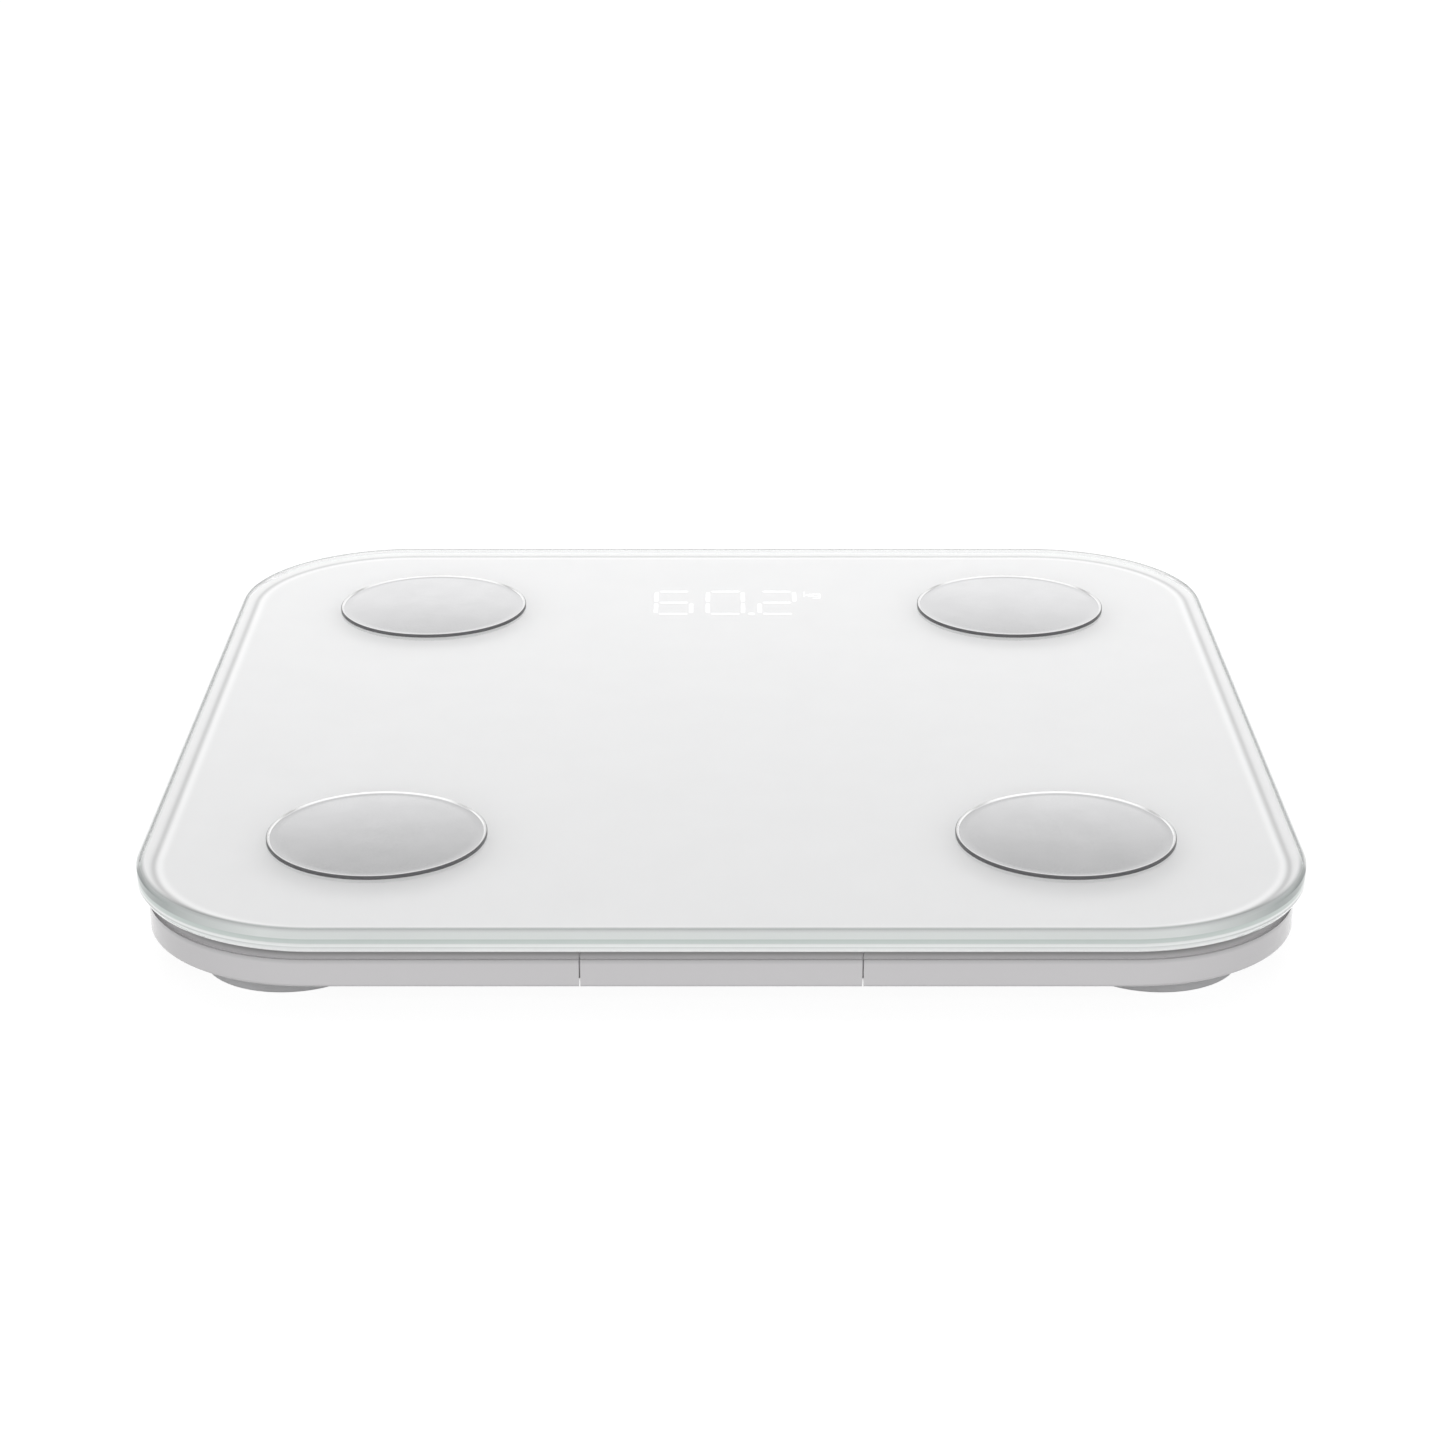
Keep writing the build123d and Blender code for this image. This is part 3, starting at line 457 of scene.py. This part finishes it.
moulded = {                                  # tone, its shift, roughness, grain per metre, relief, gloss
    "tray_plastic": ((0.88, 0.865, 0.88, 1.0), 0.02, 0.42, 2200.0, 0.10, 1.0),
    "inner_plastic": ((0.70, 0.70, 0.69, 1.0), 0.04, 0.5, 1500.0, 0.15),
    "foot_plastic": ((0.62, 0.62, 0.63, 1.0), 0.04, 0.5, 1500.0, 0.15),
    "adhesive": ((0.75, 0.75, 0.72, 1.0), 0.06, 0.4, 500.0, 0.3),
    "gauge_film": ((0.45, 0.24, 0.06, 1.0), 0.2, 0.4, 900.0, 0.2),
    "reflector_white": ((0.9, 0.9, 0.89, 1.0), 0.03, 0.35, 1200.0, 0.1),
    "diffuser_film": ((0.88, 0.89, 0.9, 1.0), 0.02, 0.6, 2600.0, 0.1),
    "chip_black": ((0.02, 0.02, 0.022, 1.0), 0.3, 0.5, 2600.0, 0.2),
    "socket_white": ((0.82, 0.8, 0.74, 1.0), 0.04, 0.45, 1500.0, 0.1),
    "cable_grey": ((0.3, 0.3, 0.31, 1.0), 0.08, 0.5, 900.0, 0.2),
    "lead_red": ((0.5, 0.02, 0.02, 1.0), 0.1, 0.45, 900.0, 0.2),
    "lead_black": ((0.02, 0.02, 0.02, 1.0), 0.2, 0.45, 900.0, 0.2),
    "emitter": ((0.85, 0.85, 0.72, 1.0), 0.05, 0.35, 2000.0, 0.1),
}
metals = {                                   # tone, roughness, grain per metre, its stretch, relief
    "plated_steel": ((0.66, 0.66, 0.64, 1.0), 0.3, 900.0, (1.0, 1.0, 1.0), 0.1),
    "tinned_brass": ((0.72, 0.69, 0.6, 1.0), 0.3, 900.0, (1.0, 0.2, 1.0), 0.1),
    "cell_steel": ((0.6, 0.59, 0.57, 1.0), 0.36, 1400.0, (0.1, 1.0, 1.0), 0.15),
    "shield_metal": ((0.7, 0.7, 0.69, 1.0), 0.28, 1200.0, (0.15, 1.0, 1.0), 0.1),
    "contact_metal": ((0.74, 0.73, 0.7, 1.0), 0.24, 1200.0, (1.0, 1.0, 0.15), 0.1),
}
finishes = {name: mouldedFinish(name, *values) for name, values in moulded.items()}
finishes.update({name: metalFinish(name, *values) for name, values in metals.items()})
shadeRecess(finishes["tray_plastic"])
finishes.update({
    "clear_glass": clearGlass(),
    "white_print": whitePrint(),
    "electrode_metal": electrodeMetal(),
    "foot_rubber": footRubber(),
    "battery_wrap": batteryWrap(),
    "board_green": boardGreen(),
})
displayGlow = litDisplay()
print("finishes:", len(finishes) + 1)

for node in nodes.values():                  # every carried-over node takes the finish of its own slot
    for slot in node.material_slots:
        slot.material = finishes[slot.material.name.split(".")[0]]


def settle(piece, body, slotName, replaced, finish=None):
    # gives a piece the finish of its slot and its body, and hides the nodes that it stands for
    piece.data.materials.append(finish or finishes[slotName])
    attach(piece, body)
    if replaced:
        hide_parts(*replaced)


# Glass platform: a slab with its edges taken off above and below
glassLow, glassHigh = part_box("glass_platform")
glass = {
    "half": glassHigh[0], "corner": 50 * mm, "low": glassLow[2], "high": glassHigh[2], "steps": 96,
    "edge": 0.8 * mm, "lowInset": 0.7 * mm, "lowRise": 1.3 * mm,   # the upper arris and the lower one
    "ease": 0.045 * mm, "lowFlat": 2 * mm, "rings": [30 * mm, 6 * mm],   # insets of points on the flats
    # the steps in the bands' strength are painted light and shade over the glass's green edge
    "greenAndShadeBands": [                               # share of the side's height, strength of its green tint
        (0.0, 0.6), (0.06, 0.45), (0.24, 0.45), (0.3, 0.9), (0.56, 1.0), (0.6, 0.6), (1.0, 0.6),
    ],
    "footTint": 0.15, "headTint": 0.6, "blend": 0.1 * mm,
    # painted shade: dark crescents round the corners, and a dark outline along the top arris
    "crescentShadeTurn": [(10, 0.0), (14, 1.0), (40, 0.9), (75, 0.0)],   # degrees round a corner, darkness
    "crescentShadeFrom": 0.58, "ring": 0.3 * mm, "outlineShade": 0.8,
}


def glassPlatform():
    # a flat polished side between an arris at 45 degrees above and a steeper one below, corners eased
    low, high, edge, blend = glass["low"], glass["high"], glass["edge"], glass["blend"]
    foot, head = low + glass["lowRise"], high - edge
    share, strength = np.array(glass["greenAndShadeBands"]).T   # bands of tint up the flat side, from foot to head
    heights = foot + (head - foot) * share
    flats = np.array(glass["rings"])[:, None]
    ring = edge + glass["ring"]
    side = [[glass["lowFlat"], low], [glass["lowInset"], low], *[[0, height] for height in heights],
            [edge, high], [ring, high], [2 * ring, high]]
    profile = np.concatenate([
        np.hstack([flats, np.full_like(flats, low)]), softCorners(side, glass["ease"]),
        np.hstack([flats[::-1], np.full_like(flats, high)]),
    ])
    rise = profile[:, 1]
    tint = np.interp(rise, [low, *heights, high - blend, high],
                     [glass["footTint"], *strength, glass["headTint"], 0])
    normal = squarePath(glass["half"], glass["corner"], glass["steps"])[1]
    # how far round its corner each point lies, in degrees from the left or right side
    turn = np.degrees(np.arctan2(np.abs(normal[:, 1]), np.abs(normal[:, 0])))
    crescentShadeTurn = np.interp(turn, *np.array(glass["crescentShadeTurn"]).T)
    # painted shade: dark crescents up the side round each corner, and a dark outline along the top arris
    upper = foot + (head - foot) * glass["crescentShadeFrom"]
    crescentShadeRise = np.interp(rise, [upper - blend, upper, high - blend, high], [0, 1, 1, 0])
    outline = (rise > high - blend / 2) & (profile[:, 0] < ring + blend)
    paintedDark = np.maximum(crescentShadeRise[:, None] * crescentShadeTurn[None], outline[:, None] * glass["outlineShade"])
    return roundedPlate("glass_pane", profile, glass["half"], glass["corner"], glass["steps"],
                        {"edgeTint": tint[:, None], "deepTint": paintedDark})


settle(glassPlatform(), "scale_body", "clear_glass", ["glass_platform"])

# White print under the glass, out nearly to its lower arris, and let in by a hair so no air lies between
printLow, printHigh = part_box("white_backing")
sheet = {
    "border": 1.0 * mm, "low": printLow[2], "high": printHigh[2], "hair": 0.006 * mm, "coat": 0.03 * mm,
    "ringsTo": 12 * mm, "rings": 24, "inner": 40 * mm, "steps": 64,
}


def whiteSheet():
    # an upright edge, and rings every half millimetre near the border, which carry the painted shade and
    # highlight lines
    low, inner, top = sheet["low"], sheet["inner"], sheet["high"] + sheet["hair"]
    coat = low + sheet["coat"]
    rings = np.linspace(0, sheet["ringsTo"], sheet["rings"] + 1)[1:]
    profile = np.concatenate([
        [[inner, low], [0, low], [0, coat], [0, top]], [[ring, top] for ring in rings], [[inner, top]],
    ])
    behind = (profile[:, 1] < coat).astype(float)
    half, corner = glass["half"] - sheet["border"], glass["corner"] - sheet["border"]
    return roundedPlate("white_sheet", profile, half, corner, sheet["steps"],
                        {"inset": profile[:, :1], "behind": behind[:, None]})


settle(whiteSheet(), "scale_body", "white_print", ["white_backing"])

# Lit reading: three seven-bar digits with a point, and the unit beside them
reading = {
    "middle": 1.2 * mm, "y": 100.0 * mm, "pitch": 16.2 * mm, "width": 12.2 * mm, "height": 22.6 * mm,
    "stroke": 1.2 * mm, "gap": 1.1 * mm, "thick": 0.012 * mm, "digits": ["acdefg", "abcdef", "abdeg"],
    "point": 1.9 * mm, "steps": 24, "endSteps": 9,
}


def lit(outline):                            # a thin slab half let into the print
    level = sheet["high"] + sheet["hair"]
    return prism(outline, level - reading["thick"], level + reading["thick"])


def capsule(start, end, width, steps):       # outline of a bar with round ends: two half circles
    start, end = np.array(start), np.array(end)
    lean = math.degrees(math.atan2(*(end - start)[::-1]))
    far = arcOf(end, width / 2, lean - 90, lean + 90, steps)
    near = arcOf(start, width / 2, lean + 90, lean + 270, steps)
    return np.concatenate([far, near])


def readingBars():
    # each digit is the bars it lights, and each bar stops short of its neighbours by the gap
    side = (reading["width"] - reading["stroke"]) / 2
    half = (reading["height"] - reading["stroke"]) / 2
    short = reading["stroke"] / 2 + reading["gap"]
    ends = {                                 # each bar from end to end, about the middle of its digit
        "a": [(-side, half), (side, half)],
        "b": [(side, 0), (side, half)],
        "c": [(side, -half), (side, 0)],
        "d": [(-side, -half), (side, -half)],
        "e": [(-side, -half), (-side, 0)],
        "f": [(-side, 0), (-side, half)],
        "g": [(-side, 0), (side, 0)],
    }
    solids = []
    for place, bars in enumerate(reading["digits"]):
        middle = np.array([reading["middle"] + (place - 1) * reading["pitch"], reading["y"]])
        for letter in bars:
            start, end = np.array(ends[letter])
            run = (end - start) / np.linalg.norm(end - start) * short
            bar = capsule(middle + start + run, middle + end - run, reading["stroke"], reading["endSteps"])
            solids.append(lit(bar))
    point = [reading["middle"] + reading["pitch"] / 2, reading["y"] - half]
    solids.append(lit(arcOf(point, reading["point"] / 2, 0, 360, reading["steps"] + 1)[:-1]))
    return joined("lit_reading", solids)


settle(readingBars(), "scale_body", "emitter", None, displayGlow)

unit = {
    "x": 26.1 * mm, "y": 105.8 * mm, "tall": 4.4 * mm, "small": 2.6 * mm, "stroke": 0.34 * mm,
    "arm": 2.0 * mm, "legFrom": 0.7 * mm, "legTo": 2.1 * mm, "bowl": 3.6 * mm, "tail": 1.7 * mm,
    "bend": 0.6, "waist": 0.7, "steps": 16, "endSteps": 5,
}


def unitLetters():
    # strokes of a small k and g: straight bars, and a ring for the bowl of the g
    x, y, small, tail, half = unit["x"], unit["y"], unit["small"], unit["tail"], unit["small"] / 2
    waist, bowl = half * unit["waist"], x + unit["bowl"]
    bend, stem = y - tail * unit["bend"], bowl + half
    strokes = [
        [(x, y), (x, y + unit["tall"])],
        [(x, y + waist), (x + unit["arm"], y + small)],
        [(x + unit["legFrom"], y + half), (x + unit["legTo"], y)],
        [(stem, y + small), (stem, bend)],
        [(bowl + waist, y - tail), (bowl - waist, y - tail)],
        [(stem, bend), (bowl + waist, y - tail)],
    ]
    around = arcOf((bowl, y + half), half, 0, 360, unit["steps"] + 1)
    strokes += list(zip(around[:-1], around[1:]))
    bars = [capsule(start, end, unit["stroke"], unit["endSteps"]) for start, end in strokes]
    return joined("lit_unit", [lit(bar) for bar in bars])


settle(unitLetters(), "scale_body", "emitter", None, displayGlow)
print("platform, print and reading built")

# Electrodes: low domes inside a thin raised lip, each on a stud
electrode = {
    "dome": 0.4 * mm, "field": 27.75 * mm, "fieldEdge": 0.45 * mm, "fieldRows": 13,
    "lipTop": 28.07 * mm, "lipRound": 28.4 * mm, "lipDrop": 0.2 * mm, "ease": 0.05 * mm,
    "stud": 1.5 * mm, "seatEdge": 0.3 * mm, "hair": 0.02 * mm, "steps": 192,
}


def electrodeCap(corner):
    # a stud and a flat seat below, an upright cut edge, a lip, and a field that rises as a parabola
    low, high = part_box("electrode_" + corner)
    seat, top, radius, stud = glass["high"], high[2], (high[0] - low[0]) / 2, electrode["stud"]
    rim = top - electrode["fieldEdge"]
    out = np.linspace(1, 0, electrode["fieldRows"])
    field = np.stack([electrode["field"] * out, rim + electrode["dome"] * (1 - out ** 2)], axis=-1)
    lip = softCorners([
        [radius, seat + electrode["hair"]], [radius, top - electrode["lipDrop"]],
        [electrode["lipRound"], top], [electrode["lipTop"], top], field[0], field[1],
    ], electrode["ease"])[:-1]
    stem = [[0, low[2]], [stud, low[2]], [stud, seat], [radius - electrode["seatEdge"], seat]]
    profile = np.concatenate([stem, lip, field[1:]])
    reach, rise = profile.T
    # painted shade on the side wall below the lip, and a painted highlight on the lip
    cutEdge = ((reach > electrode["lipRound"]) & (rise < top - electrode["hair"])).astype(float)
    paintedHighlight = ((reach > electrode["field"]) & (rise > rim)).astype(float) * (1 - cutEdge)
    place = [(low[0] + high[0]) / 2, (low[1] + high[1]) / 2, 0]
    return turnedPiece("electrode_cap_" + corner, profile, place, electrode["steps"],
                       {"cutEdge": cutEdge, "lip": paintedHighlight})


for corner in cornerNames:
    cap = electrodeCap(corner)
    cap.visible_shadow = False               # the lamps leave no wide ring on the print below the glass
    settle(cap, "scale_body", "electrode_metal", ["electrode_" + corner])
print("electrodes built")

# Foot pads: soft-edged rubber discs with rings moulded into the sole
pad = {
    "edge": 0.6 * mm, "edgeSteps": 8, "topEdge": 0.3 * mm, "topSteps": 6,
    "seat": 18.1 * mm, "seatDepth": 0.8 * mm,
    "rings": [7.0 * mm, 12.0 * mm, 17.0 * mm], "ringWidth": 1.2 * mm, "ringDepth": 0.5 * mm,
    "steps": 96, "sharp": 50,
}


def footPad(corner):
    # a sole with shallow grooves, a round outer edge, and a seat let into the top for the cup
    low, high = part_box("foot_pad_" + corner)
    radius, top, edge, topEdge = (high[0] - low[0]) / 2, high[2], pad["edge"], pad["topEdge"]
    floorLevel, groove, half = low[2], low[2] + pad["ringDepth"], pad["ringWidth"] / 2
    sole = [[0, floorLevel]]
    for ring in pad["rings"]:                # each ring is a groove with sloping sides
        sole += [[ring - half, floorLevel], [ring - half / 2, groove],
                 [ring + half / 2, groove], [ring + half, floorLevel]]
    bottom = arcOf((radius - edge, floorLevel + edge), edge, -90, 0, pad["edgeSteps"])
    upper = arcOf((radius - topEdge, top - topEdge), topEdge, 0, 90, pad["topSteps"])
    seat = [[pad["seat"], top], [pad["seat"], top - pad["seatDepth"]], [0, top - pad["seatDepth"]]]
    profile = np.concatenate([sole, bottom, upper, seat])
    place = [(low[0] + high[0]) / 2, (low[1] + high[1]) / 2, 0]
    return turnedPiece("rubber_pad_" + corner, profile, place, pad["steps"], {}, sharp=pad["sharp"])


for corner in cornerNames:
    settle(footPad(corner), "foot_" + corner, "foot_rubber", ["foot_pad_" + corner])
print("foot pads built")

# Batteries: sleeved cells with a rolled shoulder and a nub at the plus end
cell = {
    "shoulder": 0.7 * mm, "shoulderSteps": 8, "rows": [0.25, 0.5, 0.78],
    "recess": 0.25 * mm, "recessInset": 1.4 * mm, "minusInset": 1.12 * mm,
    "nub": 1.9 * mm, "nubTall": 1.0 * mm, "nubFoot": 0.6 * mm, "nubRise": 0.15 * mm, "nubEdge": 0.2 * mm,
    "steps": 64,
}
plusSide = {"front": 1, "middle": -1, "rear": 1}   # 1 where the plus end points along X


def batteryCell(name):
    # from the dished minus end, round its shoulder, along the sleeve, round the far shoulder, up the nub
    low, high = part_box("battery_" + name)
    length, radius = high[0] - low[0], (high[2] - low[2]) / 2
    shoulder, steps, nub, edge = cell["shoulder"], cell["shoulderSteps"], cell["nub"], cell["nubEdge"]
    body, dish = length - cell["nubTall"], cell["recess"]
    profile = np.concatenate([
        [[0, dish], [radius - cell["recessInset"], dish], [radius - cell["minusInset"], 0]],
        arcOf((radius - shoulder, shoulder), shoulder, -90, 0, steps),
        [[radius, body * row] for row in cell["rows"]],
        arcOf((radius - shoulder, body - shoulder), shoulder, 0, 90, steps),
        [[nub + cell["nubFoot"], body], [nub, body + cell["nubRise"]], [nub, length - edge],
         [nub - edge, length], [0, length]],
    ])
    middle = [(low[1] + high[1]) / 2, (low[2] + high[2]) / 2]
    if plusSide[name] > 0:
        turn, start = (1, 1, 1), low[0]
    else:                                    # half a turn about Z, which keeps the faces outward
        turn, start = (-1, -1, 1), high[0]
    return turnedPiece("cell_" + name, profile, [start, *middle], cell["steps"], {"along": profile[:, 1]},
                       axis="x", turn=turn)


for name in plusSide:
    settle(batteryCell(name), "scale_body", "battery_wrap", ["battery_" + name])
print("batteries built")

# Floor, which shows white to the camera and in reflections, and still takes the shadow; clear from below
floor = {
    "half": 6.0, "drop": 0.05 * mm, "tone": grey(0.22), "lift": 0.9,
    "under": 0.42, "underFrom": 110 * mm, "underTo": 136 * mm,
    "shade": 0.15, "shadeFrom": 120.5 * mm, "shadeTo": 125.5 * mm,
}


def paleFloor():
    # a square that glows for the rays that see it, less under the tray as a painted shadow, and softly on
    # the underside
    half, level = floor["half"], -floor["drop"]
    mesh = bpy.data.meshes.new("floor")
    square = [(-half, -half, level), (half, -half, level), (half, half, level), (-half, half, level)]
    mesh.from_pydata(square, [], [(0, 1, 2, 3)])
    material = bpy.data.materials.new("paleFloor")
    material.use_nodes = True
    material.cycles.emission_sampling = "NONE"   # the floor is seen, and is not a lamp
    tree = material.node_tree
    tree.nodes.clear()
    wire = Wire(tree)
    coords = wire.make("ShaderNodeTexCoord", None, None, "Object")
    across, along = [wire.maths("ABSOLUTE", wire.part(coords, axis)) for axis in "XY"]
    away = wire.maths("MAXIMUM", across, along)
    under = away.spread(floor["underFrom"], floor["underTo"], floor["under"], 0.0)
    # painted shadow: the glow that the camera sees is darker under the tray
    shade = away.spread(floor["shadeFrom"], floor["shadeTo"], floor["shade"], 1.0)   # darker under the tray
    soft = wire.rays("Diffuse") * under      # a soft light on the underside alone
    strength = wire.rays("Camera", "Glossy", "Transmission") * shade * floor["lift"] + soft
    matt = wire.make("ShaderNodeBsdfDiffuse", None, {"Color": floor["tone"]})
    glow = wire.make("ShaderNodeEmission", None, {"Color": grey(1.0), "Strength": strength})
    both = wire.make("ShaderNodeAddShader", None, {0: matt, 1: glow})
    behind = wire.make("ShaderNodeNewGeometry", None, None, "Backfacing") * wire.rays("Camera")
    clear = wire.make("ShaderNodeBsdfTransparent")
    shown = wire.make("ShaderNodeMixShader", None, {0: behind, 1: both, 2: clear})
    wire.make("ShaderNodeOutputMaterial", None, {"Surface": shown})
    mesh.materials.append(material)
    plane = bpy.data.objects.new("floor", mesh)
    bpy.context.collection.objects.link(plane)


paleFloor()

# Studio light: a dome that glass and metal show, an even level for all else, and three soft lamps
dome = {                                     # brightness by the sine of the height above the horizon
    "back": [(0.0, 1.0), (0.27, 1.0), (0.32, 0.94), (0.38, 0.71),
             (0.44, 0.53), (0.49, 0.5), (0.6, 1.0), (1.0, 0.75)],
    "front": [(0.0, 1.0), (0.12, 1.0), (0.2, 0.5), (0.36, 0.5),
              (0.45, 1.1), (0.84, 1.1), (0.93, 0.8), (1.0, 0.75)],
    "turn": 0.35, "even": 0.37, "peak": 1.1,
}
lamps = {                                    # place, target and size in metres, power in watts
    "topLamp": ((0.0, 0.0, 2.0), (0.0, 0.0, 0.0), (0.4, 0.4), 5.5),
    "backLamp": ((0.0, 0.9, 0.8), (0.0, 0.0, 0.0), (1.2, 0.8), 8.0),
    "frontLamp": ((0.0, -4.5, 2.2), (0.0, -0.1, 0.0), (8.0, 2.4), 124.0),
}


def studioDome():
    # a ramp of brightness by height at the back and one in front, mixed by the direction's depth
    world = bpy.data.worlds.new("studio")
    world.use_nodes = True
    tree = world.node_tree
    tree.nodes.clear()
    wire = Wire(tree)
    direction = wire.make("ShaderNodeTexCoord", None, None, "Generated")
    light = {}
    for side in ("back", "front"):
        stops = [(place, grey(level / dome["peak"])) for place, level in dome[side]]
        height = wire.part(direction, "Z")
        light[side] = wire.make("ShaderNodeValToRGB", {"stops": stops}, {0: height}, "Color")
    depth = wire.part(direction, "Y").spread(-dome["turn"], dome["turn"])
    seen = wire.rays("Camera", "Glossy", "Transmission")
    shown = seen.tint(grey(dome["even"] / dome["peak"]), depth.tint(light["front"], light["back"]))
    sky = wire.make("ShaderNodeBackground", None, {"Color": shown, "Strength": dome["peak"]})
    wire.make("ShaderNodeOutputWorld", None, {"Surface": sky})
    bpy.context.scene.world = world


def softLamp(name, place, target, size, power):   # a lit rectangle that faces its target
    lamp = bpy.data.lights.new(name, "AREA")
    lamp.shape = "RECTANGLE"
    lamp.size, lamp.size_y = size
    lamp.energy = power
    holder = bpy.data.objects.new(name, lamp)
    holder.location = place
    holder.rotation_euler = (Vector(target) - Vector(place)).to_track_quat("-Z", "Y").to_euler()
    holder.visible_camera = False
    holder.visible_glossy = False            # its light is soft, so no hard-edged panel shows in the glass
    bpy.context.collection.objects.link(holder)


studioDome()
for name, values in lamps.items():
    softLamp(name, *values)

# Camera, with its height, tilt and lens fitted to the photograph
view = {"place": (0.0003, -0.8848, 0.3619), "tilt": 68.956, "lens": 82.6, "sensor": 36.0, "near": 0.01}
camera = bpy.data.cameras.new("camera")
camera.lens = view["lens"]
camera.sensor_width = view["sensor"]
camera.clip_start = view["near"]
holder = bpy.data.objects.new("camera", camera)
holder.location = view["place"]
holder.rotation_euler = (math.radians(view["tilt"]), 0.0, 0.0)
bpy.context.collection.objects.link(holder)
bpy.context.scene.camera = holder
bpy.context.scene.view_settings.view_transform = "Standard"
print("stage, light and camera set")
